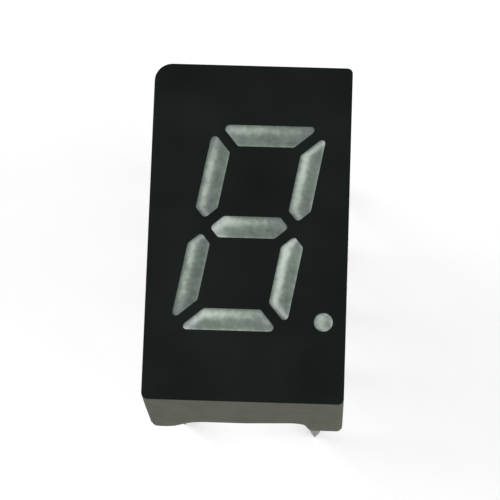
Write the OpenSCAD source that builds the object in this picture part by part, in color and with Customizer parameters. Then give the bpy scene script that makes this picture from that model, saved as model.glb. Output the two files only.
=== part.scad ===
// Single-digit seven segment LED display with a decimal point and ten round pins.
// +Z points out of the display face and +Y to the top of the digit. The origin is the middle
// of the pin grid, on the plane of the feet that seats on a circuit board.

/* [Body] */
// Width of the housing, across the digit
body_w = 7.2; // [7.1:0.1:10]
// Height of the housing, along the digit
body_h = 12.4; // [12.2:0.1:16]
// Depth from the feet to the display face
body_d = 6; // [5:0.1:9]
// Radius of the upright edges
corner_r = 0.2; // [0.1:0.05:0.6]
// Radius of the upright edge at the digit's top left, which keys the way up
key_corner_r = 0.65; // [0.1:0.05:0.7]
// Thickness of the two long side walls
side_wall = 0.45; // [0.3:0.05:0.5]
// Thickness of the two short end walls
end_wall = 0.5; // [0.3:0.05:0.55]
// Depth of the open back, from the feet to the circuit board
back_room = 1.6; // [1.5:0.1:3]
// Thickness of the black ink on the face
ink_t = 0.04; // [0.02:0.01:0.1]

/* [Feet] */
// How far the end walls are cut back between the corner feet
notch_d = 1.2; // [0.4:0.1:1.5]
// Width of that notch along its flat bottom
notch_w = 4.4; // [3:0.1:4.8]
// Sideways run of each sloping end of the notch
notch_slope = 0.5; // [0.2:0.05:0.7]
// Radius of the bends in the notch's outline
notch_r = 0.4; // [0.1:0.05:0.5]

/* [Digit] */
// Height of the digit over its outer edges
digit_h = 7.6; // [6:0.1:9.2]
// Width of the upright digit over its outer edges
digit_w = 4.16; // [3.4:0.02:4.2]
// Width of a segment
stroke = 0.8; // [0.5:0.01:0.85]
// Lean of the digit to the right, in degrees
slant = 10; // [0:1:12]
// Gap between the mitred ends of neighbouring segments, square to them on the leaning digit
segment_gap = 0.37; // [0.3:0.01:0.5]
// Height of the digit's middle above the housing's middle
digit_rise = 0.155; // [0:0.005:0.3]
// Distance of the digit's middle to the right of the housing's middle
digit_shift = 0.03; // [-0.1:0.01:0.1]
// Radius of a segment's corners
segment_r = 0.14; // [0.04:0.01:0.16]
// How much of a segment's length is left at the floor of its well
floor_length = 0.55; // [0.5:0.05:0.9]
// How much of a segment's width is left at the floor of its well
floor_width = 0.72; // [0.6:0.02:0.9]
// Diameter of the decimal point on the face
point_d = 0.68; // [0.64:0.02:0.8]
// Diameter of the decimal point's well at its floor
point_floor_d = 0.62; // [0.62:0.01:0.68]
// Distance of the decimal point from the housing's right side
point_inset = 0.81; // [0.7:0.01:1]
// Height of the decimal point above the foot of the digit
point_rise = 0.4; // [0.3:0.01:0.5]

/* [Pins] */
// Number of pins in each row
pins_per_row = 5; // [3:1:5]
// Distance between neighbouring pins of a row
pin_pitch = 2.54; // [2:0.01:2.54]
// Distance between the two rows
row_spacing = 5.08; // [5.0:0.02:5.3]
// Diameter of the free stretch of a pin
pin_d = 0.4; // [0.3:0.02:0.5]
// Diameter of a pin's root, where it is pressed into the circuit board
pin_root_d = 0.44; // [0.34:0.02:0.54]
// Length of a pin below the feet
pin_length = 7.5; // [3:0.1:12]
// Chamfer at a pin's cut end
pin_chamfer = 0.05; // [0.02:0.01:0.08]

/* [Circuit board] */
// Thickness of the board
board_t = 0.8; // [0.6:0.1:1]
// Clearance between the board's edge and the walls
board_clearance = 0.1; // [0.05:0.01:0.15]
// Thickness of the copper on both faces
copper_t = 0.035; // [0.02:0.005:0.07]
// Diameter of the pin pads on the back
pad_d = 1.65; // [1:0.05:1.9]
// Diameter of the pin pads on the front
front_pad_d = 0.72; // [0.72:0.02:0.84]
// Width of a track
track_w = 0.2; // [0.12:0.02:0.25]
// Diameter of the two test discs on the back
disc_d = 1.8; // [1:0.05:2]
// Diameter of the housing's two locating pegs
peg_d = 0.9; // [0.7:0.05:1]
// Clearance around a peg in the board
peg_clearance = 0.05; // [0.02:0.01:0.1]
// How far a peg stands out behind the board
peg_proud = 0.12; // [0.05:0.01:0.18]
// Width of the ledge that the board's rim seats on
seat_w = 0.14; // [0.1:0.01:0.2]

/* [Light sources] */
// Side of a square LED chip
chip_w = 0.2; // [0.16:0.01:0.22]
// Height of an LED chip
chip_h = 0.18; // [0.1:0.01:0.25]
// Side of the square pads under the chips and the wires' ends
die_pad_w = 0.24; // [0.22:0.01:0.28]
// Span of a bond wire in a segment's well
wire_span = 0.56; // [0.5:0.01:0.6]
// Span of the bond wire in the decimal point's well
point_wire_span = 0.32; // [0.3:0.01:0.34]
// Diameter of a bond wire
wire_d = 0.03; // [0.02:0.005:0.05]

/* [Potting resin] */
// Thickness of the resin over the board, along the middle where it is thinnest
resin_cover = 0.25; // [0.2:0.01:0.4]
// How far the resin's surface rises from there to the long walls
resin_rise = 0.35; // [0.1:0.05:0.6]

/* [Hidden] */
$fn = 48;
SEGMENTS = ["a", "b", "c", "d", "e", "f", "g"];
LIGHTS = concat(SEGMENTS, ["point"]);
PINS = [for (i = [1:2 * pins_per_row]) i];

past = 1;                                // how far a cutting shape runs past what it cuts
bend_steps = 4;                          // straight steps in a rounded corner of an outline

board_back_z = back_room;
seat_z = board_back_z + board_t;         // the board's front face, on the housing's ledge
copper_z = seat_z + copper_t;            // the top of the front copper, and the block's back
chip_top_z = copper_z + chip_h;
well_depth = body_d - copper_z;
cavity_w = body_w - 2 * side_wall;
cavity_h = body_h - 2 * end_wall;
cavity_r = 0.4;
relief_r = 0.3;
board_w = cavity_w - 2 * board_clearance;
board_h = cavity_h - 2 * board_clearance;
relief_w = board_w - 2 * seat_w;         // the block's shallow relief over the front copper
relief_h = board_h - 2 * seat_w;
root_z = 0.6;                            // where a pin has swelled to its root, clear of the resin

column_x = (digit_w - stroke) / 2;       // centrelines of the upright digit's columns and rows
row_y = (digit_h - stroke) / 2;
half = stroke / 2;
// A gap's half, measured along a segment of the upright digit. The lean narrows the gaps that
// rise to the right and widens the ones that fall, so each kind starts from its own width.
rising = segment_gap / 2 * norm([1 + tan(slant), 1]);
falling = segment_gap / 2 * norm([1 - tan(slant), 1]);

peg_places = [[-0.9, -4.95], [0.1, 4.95]];
disc_places = [[-0.27, -1.8], [0.52, 1.97]];
resin_valley = board_back_z - resin_cover;
resin_r = (pow(cavity_w / 2, 2) + pow(resin_rise, 2)) / (2 * resin_rise);

// A point of the upright digit, on the leaning digit in the part's frame.
function slanted(p) = [p[0] + p[1] * tan(slant) + digit_shift, p[1] + digit_rise];
function turned_half(points) = [for (p = points) -p];
function unit(v) = v / norm(v);
function turned(v, angle) =
    [v[0] * cos(angle) - v[1] * sin(angle), v[0] * sin(angle) + v[1] * cos(angle)];

// The arc that rounds corner b between its neighbours a and c.
function bend(a, b, c, r) =
    let (
        u = unit(a - b),
        v = unit(c - b),
        half_angle = acos(u * v) / 2,
        centre = b + unit(u + v) * r / sin(half_angle),
        start = b + u * r / tan(half_angle) - centre,
        side = cross(u, v) > 0 ? -1 : 1,
        sweep = side * (180 - 2 * half_angle)
    )
    [for (i = [0:bend_steps]) centre + turned(start, sweep * i / bend_steps)];

function rounded(points, r) =
    let (n = len(points))
    [for (i = [0:n - 1]) each bend(points[(i + n - 1) % n], points[i], points[(i + 1) % n], r)];

// Outlines in the upright digit's frame: a bar with two mitred ends, a side with one mitred and
// one pointed end, and the pointed middle bar. The lower half is the upper one turned half round.
bar = [
    [falling - half - column_x, row_y + half],
    [column_x - rising + half, row_y + half],
    [column_x - rising - half, row_y - half],
    [falling + half - column_x, row_y - half]
];
function side(way, point, end) = [
    [way * column_x, point],
    [way * (column_x + half), point + half],
    [way * (column_x + half), row_y - end + half],
    [way * (column_x - half), row_y - end - half],
    [way * (column_x - half), point + half]
];
tip = [column_x - (rising + falling) / 2, (rising - falling) / 2];
middle = [
    -tip,
    [rising + half - column_x, half],
    [column_x - falling - half, half],
    tip,
    [column_x - rising - half, -half],
    [falling + half - column_x, -half]
];

function outline(s) =
    s == "a" ? bar : s == "d" ? turned_half(bar) : s == "g" ? middle
    : s == "b" ? side(1, falling, rising) : s == "f" ? side(-1, rising, falling)
    : s == "e" ? turned_half(side(1, falling, rising)) : turned_half(side(-1, rising, falling));

// The middle of a segment's centreline in the upright digit's frame.
function middle_of(s) =
    s == "a" ? [0, row_y] : s == "d" ? [0, -row_y] : s == "g" ? [0, 0]
    : [(s == "b" || s == "c" ? 1 : -1) * column_x, (s == "b" || s == "f" ? 1 : -1) * row_y / 2];

function is_bar(s) = s == "a" || s == "d" || s == "g";
point_place = [body_w / 2 - point_inset, digit_rise - digit_h / 2 + point_rise];
function light_place(s) = s == "point" ? point_place : slanted(middle_of(s));
function span_of(s) = s == "point" ? point_wire_span : wire_span;

// The way from a light's chip to its wire's far end, chosen so that no two tracks cross.
function wire_way(s) =
    s == "a" || s == "d" ? [-1, 0] : s == "g" ? [1, 0] : s == "point" ? [0, -1]
    : [sin(slant), cos(slant)] * (s == "b" || s == "f" ? 1 : -1);
function chip_place(s) = light_place(s) - wire_way(s) * span_of(s) / 2;
function bond_place(s) = light_place(s) + wire_way(s) * span_of(s) / 2;

// Pins are numbered from the digit's top left down the left row, then up the right one.
function pin_place(i) =
    i <= pins_per_row
    ? [-row_spacing / 2, ((pins_per_row + 1) / 2 - i) * pin_pitch]
    : [row_spacing / 2, (i - (3 * pins_per_row + 1) / 2) * pin_pitch];

// A rectangle on the XY plane, with one radius at its top left corner and another at the rest.
module plate(w, h, r, top_left_r) {
    difference() {
        square([w, h], center = true);
        for (sx = [-1, 1], sy = [-1, 1]) {
            corner = sx < 0 && sy > 0 ? top_left_r : r;
            translate([sx * (w / 2 - corner), sy * (h / 2 - corner)])
                mirror([sx < 0 ? 1 : 0, 0]) mirror([0, sy < 0 ? 1 : 0])
                    difference() {
                        square(corner + past);
                        circle(corner);
                    }
        }
    }
}

// The room that a segment's resin takes up, from the face down to the front copper.
module well(s) {
    centre = slanted(middle_of(s));
    floor_scale = is_bar(s) ? [floor_length, floor_width] : [floor_width, floor_length];
    translate([centre[0], centre[1], body_d])
        mirror([0, 0, 1])
            linear_extrude(well_depth, scale = floor_scale, slices = 1, segments = 1)
                polygon([for (p = rounded(outline(s), segment_r)) slanted(p) - centre]);
}

module point_well() {
    translate([point_place[0], point_place[1], copper_z])
        cylinder(well_depth, d1 = point_floor_d, d2 = point_d);
}

module wells() {
    for (s = SEGMENTS) well(s);
    point_well();
}

// Outline of the notch in an end wall, in X and Z.
module notch_outline() {
    flat = notch_w / 2;
    outer = flat + notch_slope;
    polygon(concat(
        [[-outer - past, -past]],
        bend([-outer - past, 0], [-outer, 0], [-flat, notch_d], notch_r / 2),
        bend([-outer, 0], [-flat, notch_d], [flat, notch_d], notch_r),
        bend([-flat, notch_d], [flat, notch_d], [outer, 0], notch_r),
        bend([flat, notch_d], [outer, 0], [outer + past, 0], notch_r / 2),
        [[outer + past, -past]]
    ));
}

module pegs(d, z, height) {
    for (p = peg_places) translate([p[0], p[1], z]) cylinder(height, d = d);
}

// Moulded in one: walls, feet, the reflector block with its tapered wells, and the two pegs.
module housing() {
    color("#62645c")
    union() {
        difference() {
            linear_extrude(body_d - ink_t) plate(body_w, body_h, corner_r, key_corner_r);
            translate([0, 0, -past])
                linear_extrude(seat_z + past) plate(cavity_w, cavity_h, cavity_r, cavity_r);
            linear_extrude(copper_z) plate(relief_w, relief_h, relief_r, relief_r);
            translate([0, body_h, 0]) rotate([90, 0, 0])
                linear_extrude(2 * body_h) notch_outline();
            wells();
        }
        pegs(peg_d, board_back_z - peg_proud, copper_z - board_back_z + peg_proud);
    }
}

// The black ink printed over the face, open over each well.
module face_ink() {
    color("#1b1f1e")
    difference() {
        translate([0, 0, body_d - ink_t])
            linear_extrude(ink_t) plate(body_w, body_h, corner_r, key_corner_r);
        wells();
    }
}

// One light's resin, cast around its chip and bond wire.
module segment(s) {
    color("#a9b7ac")
    difference() {
        well(s);
        led_chip(s);
        bond_wire(s);
    }
}

module decimal_point() {
    color("#a9b7ac")
    difference() {
        point_well();
        led_chip("point");
        bond_wire("point");
    }
}

module circuit_board() {
    color("#202723")
    translate([0, 0, board_back_z])
        linear_extrude(board_t)
            difference() {
                plate(board_w, board_h, cavity_r, cavity_r);
                for (i = PINS) translate(pin_place(i)) circle(d = pin_root_d);
                for (p = peg_places) translate(p) circle(d = peg_d + 2 * peg_clearance);
            }
}

module track(from, to) {
    way = to - from;
    translate(from) rotate(atan2(way[1], way[0]))
        translate([0, -track_w / 2]) square([norm(way), track_w]);
    for (end = [from, to]) translate(end) circle(d = track_w);
}

module route(points) {
    for (i = [0:len(points) - 2]) track(points[i], points[i + 1]);
}

// The common net joins every chip to the middle pin of each row, and each wire's far end has
// a track of its own to its pin.
module front_copper() {
    left_common = pin_place((pins_per_row + 1) / 2);
    right_common = pin_place((3 * pins_per_row + 1) / 2);
    spine_foot = chip_place("d");
    spine_head = chip_place("a");
    spine_middle = slanted([0, 0]);
    upper = slanted([0, row_y / 2]);
    lower = slanted([0, -row_y / 2]);
    beside_peg =
        [peg_places[1][0] - peg_d / 2 - peg_clearance - track_w, light_place("a")[1]];
    color("#b07a4a")
    translate([0, 0, seat_z])
        linear_extrude(copper_t)
            difference() {
                union() {
                    intersection() {
                        plate(relief_w, relief_h, relief_r, relief_r);
                        for (i = PINS) translate(pin_place(i)) circle(d = front_pad_d);
                    }
                    for (s = LIGHTS) {
                        translate(chip_place(s)) square(die_pad_w, center = true);
                        translate(bond_place(s)) square(die_pad_w, center = true);
                    }
                    route([left_common, spine_middle, chip_place("g")]);
                    route([spine_foot, spine_middle, upper, spine_head]);
                    route([chip_place("f"), upper]);
                    route([chip_place("e"), lower, chip_place("c"), right_common]);
                    route([right_common, chip_place("b")]);
                    route([spine_foot, chip_place("point")]);
                    route([bond_place("a"), beside_peg, pin_place(1)]);
                    route([bond_place("f"), pin_place(2)]);
                    route([bond_place("e"), pin_place(4)]);
                    route([bond_place("d"), pin_place(5)]);
                    route([bond_place("point"), pin_place(6)]);
                    route([bond_place("c"), pin_place(7)]);
                    route([bond_place("b"), pin_place(9)]);
                    route([bond_place("g"), slanted([0.75, row_y]), pin_place(10)]);
                }
                for (i = PINS) translate(pin_place(i)) circle(d = pin_root_d);
            }
}

// A pad around each pin, cut off at the board's edge, and two test discs.
module back_copper() {
    color("#6b5840")
    translate([0, 0, board_back_z - copper_t])
        linear_extrude(copper_t)
            difference() {
                intersection() {
                    plate(board_w, board_h, cavity_r, cavity_r);
                    union() {
                        for (i = PINS) translate(pin_place(i)) circle(d = pad_d);
                        for (p = disc_places) translate(p) circle(d = disc_d);
                    }
                }
                for (i = PINS) translate(pin_place(i)) circle(d = pin_root_d);
            }
}

module led_chip(s) {
    p = chip_place(s);
    color("#d8c66a")
    translate([p[0], p[1], copper_z])
        rotate(atan2(wire_way(s)[1], wire_way(s)[0]))
            translate([-chip_w / 2, -chip_w / 2, 0]) cube([chip_w, chip_w, chip_h]);
}

// Half a ring over the gap, and a straight foot down to the pad.
module bond_wire(s) {
    p = light_place(s);
    span = span_of(s);
    color("#d9a93c")
    translate([p[0], p[1], chip_top_z])
        rotate(atan2(wire_way(s)[1], wire_way(s)[0])) {
            rotate([90, 0, 0])
                rotate_extrude(angle = 180) translate([span / 2, 0]) circle(d = wire_d);
            translate([span / 2, 0, -chip_h]) cylinder(chip_h, d = wire_d);
        }
}

module pin(i) {
    p = pin_place(i);
    color("#b4b1a8")
    translate([p[0], p[1], 0]) {
        translate([0, 0, pin_chamfer - pin_length])
            cylinder(pin_length - pin_chamfer, d = pin_d);
        cylinder(root_z, d1 = pin_d, d2 = pin_root_d);
        translate([0, 0, root_z]) cylinder(copper_z - root_z, d = pin_root_d);
        translate([0, 0, -pin_length])
            cylinder(pin_chamfer, d1 = pin_d - 2 * pin_chamfer, d2 = pin_d);
    }
}

// The clear resin behind the board, with a trough along it where it crept up the long walls.
module potting_resin() {
    color("#5b5a45", 0.6)
    difference() {
        linear_extrude(board_back_z) plate(cavity_w, cavity_h, cavity_r, cavity_r);
        translate([0, body_h, resin_valley - resin_r]) rotate([90, 0, 0])
            cylinder(2 * body_h, r = resin_r, $fn = 180);
        for (i = PINS) translate(pin_place(i)) cylinder(board_back_z, d = pin_root_d);
        pegs(peg_d, board_back_z - peg_proud, peg_proud);
        back_copper();
    }
}

housing();
face_ink();
circuit_board();
front_copper();
back_copper();
potting_resin();
decimal_point();
for (s = SEGMENTS) segment(s);
for (s = LIGHTS) {
    led_chip(s);
    bond_wire(s);
}
for (i = PINS) pin(i);
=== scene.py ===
import math

import bmesh
import bpy
from mathutils import Matrix, Vector, geometry, noise


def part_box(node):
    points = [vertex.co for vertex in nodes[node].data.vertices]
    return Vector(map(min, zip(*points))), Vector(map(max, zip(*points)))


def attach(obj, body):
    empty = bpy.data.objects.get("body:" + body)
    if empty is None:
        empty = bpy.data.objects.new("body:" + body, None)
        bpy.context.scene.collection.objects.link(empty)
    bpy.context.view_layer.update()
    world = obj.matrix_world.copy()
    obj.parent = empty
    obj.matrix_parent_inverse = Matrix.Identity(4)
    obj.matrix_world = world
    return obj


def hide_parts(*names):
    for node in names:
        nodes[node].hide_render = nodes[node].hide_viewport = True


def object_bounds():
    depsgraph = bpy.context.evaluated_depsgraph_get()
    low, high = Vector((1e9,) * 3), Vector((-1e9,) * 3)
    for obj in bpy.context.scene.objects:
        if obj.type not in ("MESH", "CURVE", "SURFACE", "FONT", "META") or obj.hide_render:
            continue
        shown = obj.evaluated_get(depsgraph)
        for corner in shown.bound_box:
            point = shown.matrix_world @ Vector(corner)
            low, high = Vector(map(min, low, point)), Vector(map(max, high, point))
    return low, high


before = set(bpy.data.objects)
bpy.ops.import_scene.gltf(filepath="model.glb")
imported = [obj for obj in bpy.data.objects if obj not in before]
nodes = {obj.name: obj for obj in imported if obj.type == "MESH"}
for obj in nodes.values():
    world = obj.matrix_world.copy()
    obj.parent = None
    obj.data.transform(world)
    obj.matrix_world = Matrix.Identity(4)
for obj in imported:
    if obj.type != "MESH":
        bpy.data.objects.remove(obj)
cad_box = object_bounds()

# ==== Housing =======================================================
# The grey body: four thin walls with a foot at each corner, and a solid reflector block with a
# tapered well for each light. It is moulded in one piece of polycarbonate, with the end walls
# cut back between the feet and the tool's small radius on every edge.

# Sizes are in millimetres, and heights are above the feet. A mesh's points are in metres. The
# cavity is the open back inside the walls, and the rounds are those of the walls' lower edges.
MM = 0.001
housing_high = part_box("housing")[1]
body_half = Vector((housing_high.x / MM, housing_high.y / MM))
wall_top = housing_high.z / MM
face_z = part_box("face_ink")[1].z / MM
block_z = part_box("led_chip_a")[0].z / MM
board_back_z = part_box("circuit_board")[0].z / MM
cavity_half, cavity_r = Vector((3.15, 5.7)), 0.4
outer_round, inner_round = 0.09, 0.05
notch_depth = 1.2

# For each corner, by its side in x and y: the upright edge's radius, and the round on the tip of
# its foot. foot_flat is how much of that round the tip really has.
corners = [(1, 1), (-1, 1), (-1, -1), (1, -1)]
corner_radii = {(1, 1): 0.2, (-1, 1): 0.65, (-1, -1): 0.24, (1, -1): 0.2}
foot_round = {(1, 1): 0.2, (-1, 1): 0.22, (-1, -1): 0.42, (1, -1): 0.2}
foot_flat = 0.7
CORNER_STEPS, BEND_STEPS = 12, 8


def corner_arc(half, side, radius):
    """Points round one upright corner, turning anticlockwise seen from the face."""
    start = {(1, 1): 0, (-1, 1): 90, (-1, -1): 180, (1, -1): 270}[side]
    centre = Vector((side[0] * (half.x - radius), side[1] * (half.y - radius)))
    angles = [math.radians(start + 90 * i / CORNER_STEPS) for i in range(CORNER_STEPS + 1)]
    return [centre + radius * Vector((math.cos(angle), math.sin(angle))) for angle in angles]


def along(points, count):
    """The line through points, cut into count equal lengths."""
    shortest = 1e-9
    lengths = [0.0]
    for a, b in zip(points, points[1:]):
        lengths.append(lengths[-1] + (b - a).length)
    found, k = [], 0
    for i in range(count + 1):
        want = lengths[-1] * i / count
        while k < len(points) - 2 and lengths[k + 1] < want:
            k += 1
        share = (want - lengths[k]) / max(lengths[k + 1] - lengths[k], shortest)
        found.append(points[k].lerp(points[k + 1], min(share, 1)))
    return found


def bend(a, b, c, radius):
    """The arc that rounds corner b between its neighbours a and c."""
    u, v = (a - b).normalized(), (c - b).normalized()
    half_angle = math.acos(max(-1, min(1, u.dot(v)))) / 2
    centre = b + (u + v).normalized() * radius / math.sin(half_angle)
    start = b + u * radius / math.tan(half_angle) - centre
    end = b + v * radius / math.tan(half_angle) - centre
    shares = [i / BEND_STEPS for i in range(BEND_STEPS + 1)]
    return [centre + radius * start.lerp(end, share).normalized() for share in shares]


def notch_end(half, run, tilt, crown_bend, foot_bend):
    """Half of a notch's edge, from its middle out to the corner. The edge is level, or rises by
    tilt, over half, falls over run, and is rounded at the crown and at the foot."""
    level, crown = Vector((0, notch_depth)), Vector((half, notch_depth + tilt * half))
    foot, corner = Vector((half + run, 0)), Vector((body_half.x, 0))
    return [level, *bend(level, crown, foot, crown_bend), *bend(crown, foot, corner, foot_bend), corner]


# At the digit's foot the notch is a little deeper to the right, and eases into the left foot.
crisp = notch_end(half=2.2, run=0.5, tilt=0.0, crown_bend=0.4, foot_bend=0.2)
soft = notch_end(half=1.95, run=0.8, tilt=0.0, crown_bend=0.9, foot_bend=0.6)
deep = notch_end(half=2.13, run=0.27, tilt=0.19, crown_bend=0.5, foot_bend=0.15)


def notch_height(p):
    """How far the end wall's edge stands above the feet at a point of the wall."""
    line = crisp if p.y > 0 else soft if p.x < 0 else deep
    x = abs(p.x)
    for a, b in zip(line, line[1:]):
        if a.x <= x <= b.x and b.x > a.x:
            return a.y + (b.y - a.y) * (x - a.x) / (b.x - a.x)
    return 0.0


def on_wall(place, half):
    """True where an x or y lies on the walls that stand at half on either side."""
    nearly_on = 1e-4
    return abs(abs(place) - half) < nearly_on


def step_in(p):
    """The cavity's point across the wall from a point on a straight side of the body."""
    return Vector((math.copysign(cavity_half.x, p.x) if on_wall(p.x, body_half.x) else p.x,
                   math.copysign(cavity_half.y, p.y) if on_wall(p.y, body_half.y) else p.y))


# Stations run once round the body. Each pairs a point of the outside with one of the cavity and
# the height of the wall's edge there. They lie close together at the corners, out to even_x and
# even_y, and on the notched end walls.
even_x, even_y = 2.7, 5.0
CORNER_PIECES, END_PIECES, SIDE_PIECES = 40, 112, 24
stations = []
for side, next_side in zip(corners, corners[1:] + corners[:1]):
    on_end = side[1] == next_side[1]
    before = Vector((side[0] * body_half.x, side[1] * even_y))
    after = Vector((side[0] * even_x, side[1] * body_half.y))
    ahead = Vector((next_side[0] * even_x, next_side[1] * body_half.y))
    if not on_end:
        before, after = after, before
        ahead = Vector((next_side[0] * body_half.x, next_side[1] * even_y))
    outside = corner_arc(body_half, side, corner_radii[side])
    inside = corner_arc(cavity_half, side, cavity_r)
    outer_run = along([before, *outside, after], CORNER_PIECES)
    inner_run = along([step_in(before), *inside, step_in(after)], CORNER_PIECES)
    apex, reach = outside[CORNER_STEPS // 2], foot_round[side]
    for p, q in zip(outer_run, inner_run):
        far = (p - apex).length
        lift = reach - math.sqrt(reach * reach - (reach - far) ** 2) if far < reach else 0.0
        notch = notch_height(p) if on_wall(p.y, body_half.y) else 0.0
        stations.append((p, q, max(lift * foot_flat, notch)))
    for p in along([after, ahead], END_PIECES if on_end else SIDE_PIECES)[1:-1]:
        stations.append((p, step_in(p), notch_height(p) if on_end else 0.0))
outer_line, inner_line, edge_z = map(list, zip(*stations))


def outward(points):
    """The outward direction at each point of a closed outline that turns anticlockwise."""
    found = []
    for i, p in enumerate(points):
        way = points[(i + 1) % len(points)] - points[i - 1]
        found.append(Vector((way.y, -way.x)).normalized())
    return found


def ring(bm, points, heights):
    """Adds a vertex at each point, at its height."""
    return [bm.verts.new((p.x * MM, p.y * MM, z * MM)) for p, z in zip(points, heights)]


def skin(bm, lower, upper):
    """Joins two rings with quads. The outside is on the right hand, going from lower to upper."""
    n = len(lower)
    for i in range(n):
        j = (i + 1) % n
        bm.faces.new((lower[i], lower[j], upper[j], upper[i]))


def sheet_between(bm, outline, holes, up, spare=()):
    """Fills the area inside outline and outside the holes, which are rings of vertices, with
    triangles that also meet at the spare vertices."""
    loops = [outline, *holes]
    verts = [v for loop in loops for v in loop] + list(spare)
    flat = [Vector((v.co.x / MM, v.co.y / MM)) for v in verts]
    edges, start = [], 0
    for loop in loops:
        n = len(loop)
        edges += [(start + i, start + (i + 1) % n) for i in range(n)]
        start += n
    inside_outline, merge_distance = 1, 1e-7
    _, made_edges, made_faces, vert_from, edge_from, _ = geometry.delaunay_2d_cdt(
        flat, edges, [], inside_outline, merge_distance
    )
    fences = {frozenset(edge) for edge, source in zip(made_edges, edge_from) if source}
    first = next(frozenset(edge) for edge, source in zip(made_edges, edge_from) if 0 in source)
    beside = {}
    for face in made_faces:
        for side in zip(face, face[1:] + face[:1]):
            beside.setdefault(frozenset(side), []).append(tuple(face))
    # Faces are taken outwards from the first edge and never over a fence, so none lies in a hole.
    taken, waiting = set(), list(beside[first])
    while waiting:
        face = waiting.pop()
        if face in taken:
            continue
        taken.add(face)
        ends = [verts[vert_from[i][0]] for i in face]
        bm.faces.new(ends if up else ends[::-1])
        for side in zip(face, face[1:] + face[:1]):
            if frozenset(side) not in fences:
                waiting += beside[frozenset(side)]


def hull_at(node, z):
    """The convex outline of a CAD node's points at height z, anticlockwise, in millimetres."""
    level_gap, straight = 0.002, 1e-6
    points = sorted({
        (round(v.co.x / MM, 4), round(v.co.y / MM, 4))
        for v in nodes[node].data.vertices if abs(v.co.z / MM - z) < level_gap
    })

    def half(order):
        chain = []
        for p in order:
            while len(chain) > 1 and (
                (chain[-1][0] - chain[-2][0]) * (p[1] - chain[-2][1])
                - (chain[-1][1] - chain[-2][1]) * (p[0] - chain[-2][0])
            ) <= straight:
                chain.pop()
            chain.append(p)
        return chain[:-1]

    return [Vector(p) for p in half(points) + half(points[::-1])]


def box_of(points):
    """The lowest and the highest corner round some flat points."""
    return (Vector((min(p.x for p in points), min(p.y for p in points))),
            Vector((max(p.x for p in points), max(p.y for p in points))))


def centre_of(node):
    """The middle of a CAD node seen from the face, in millimetres."""
    low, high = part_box(node)
    return Vector(((low.x + high.x) / 2 / MM, (low.y + high.y) / 2 / MM))


def circle(centre, radius, steps):
    """Points round a circle, anticlockwise."""
    turn = math.tau / steps
    return [centre + radius * Vector((math.cos(i * turn), math.sin(i * turn))) for i in range(steps)]


def quarter(steps):
    """How far a rounded edge has come in and how far it still is from its end, as shares of its
    radius, at each step of a quarter turn."""
    turns = [math.radians(90 * i / steps) for i in range(steps + 1)]
    return [(1 - math.cos(turn), 1 - math.sin(turn)) for turn in turns]


def new_object(name, data):
    """Makes an object of a mesh, lamp or camera and puts it in the scene."""
    made = bpy.data.objects.new(name, data)
    bpy.context.scene.collection.objects.link(made)
    return made


def new_piece(name, bm, material, sharp_over):
    """Makes an object of a closed mesh, at the origin, with its place in its points. Its faces
    are turned outwards, and edges that turn by more degrees than sharp_over stay sharp."""
    mesh = bpy.data.meshes.new(name)
    bmesh.ops.recalc_face_normals(bm, faces=bm.faces)
    bm.to_mesh(mesh)
    bm.free()
    mesh.materials.append(material)
    mesh.shade_smooth()
    mesh.set_sharp_from_angle(angle=math.radians(sharp_over))
    return new_object(name, mesh)


def hex_colour(code):
    """An sRGB hex colour as linear red, green, blue and alpha."""
    values = [int(code[i:i + 2], 16) / 255 for i in (1, 3, 5)]
    return [v / 12.92 if v <= 0.04045 else ((v + 0.055) / 1.055) ** 2.4 for v in values] + [1.0]


def add(tree, kind, settings=None, links=None):
    """Adds a node, with settings for its properties or sockets and links into its sockets. A
    link comes from a node's first output, unless another output is given."""
    node = tree.nodes.new(kind)
    for key, value in (settings or {}).items():
        if isinstance(key, str) and hasattr(node, key):
            setattr(node, key, value)
        else:
            node.inputs[key].default_value = value
    for key, source in (links or {}).items():
        tree.links.new(getattr(source, "outputs", [source])[0], node.inputs[key])
    return node


def start_material(name):
    """A new material, its empty node tree, and the place on the object that patterns read."""
    material = bpy.data.materials.new(name)
    material.use_nodes = True
    tree = material.node_tree
    tree.nodes.clear()
    return material, tree, add(tree, "ShaderNodeTexCoord").outputs["Object"]


def grain(tree, place, across, detail, roughness=0.5):
    """Adds a noise pattern whose larger features are about as many millimetres across."""
    return add(tree, "ShaderNodeTexNoise",
               {"Scale": 1 / (across * MM), "Detail": detail, "Roughness": roughness}, {"Vector": place})


def ramp(tree, source, stops):
    """Adds a colour ramp. Its stops are hex colours by their position, in rising order."""
    node = add(tree, "ShaderNodeValToRGB", links={"Fac": source})
    for position in list(stops)[1:-1]:
        node.color_ramp.elements.new(position)
    for stop, (position, code) in zip(node.color_ramp.elements, stops.items()):
        stop.position, stop.color = position, hex_colour(code)
    return node


# Polycarbonate, moulded in a lightly sparked tool: a dull warm grey with cloudy flow marks about
# 0.7 mm across and drawn out down the walls, faint brown flecks, and a fine pebbled skin.
housing_grey, tree, place = start_material("moulded grey polycarbonate")
drawn_out = add(tree, "ShaderNodeMapping", {"Scale": (1.0, 1.0, 0.5)}, {"Vector": place})
clouds = grain(tree, drawn_out, across=0.7, detail=5.0, roughness=0.6)
flow = ramp(tree, clouds, {0.3: "#4e4f46", 0.72: "#5b5d52"})
flecks = grain(tree, drawn_out, across=0.16, detail=2.0)
fleck_mask = add(tree, "ShaderNodeMapRange", {"From Min": 0.56, "From Max": 0.74, "To Max": 0.4},
                 {"Value": flecks})
flecked = add(tree, "ShaderNodeMix", {"data_type": "RGBA", 7: hex_colour("#55492f")},
              {0: fleck_mask, 6: flow}).outputs[2]
pebble = grain(tree, place, across=0.07, detail=3.0, roughness=0.6)
pebble_bump = add(tree, "ShaderNodeBump", {"Strength": 0.35, "Distance": 0.012 * MM}, {"Height": pebble})
wear = add(tree, "ShaderNodeMapRange", {"To Min": 0.62, "To Max": 0.8}, {"Value": clouds})
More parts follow.
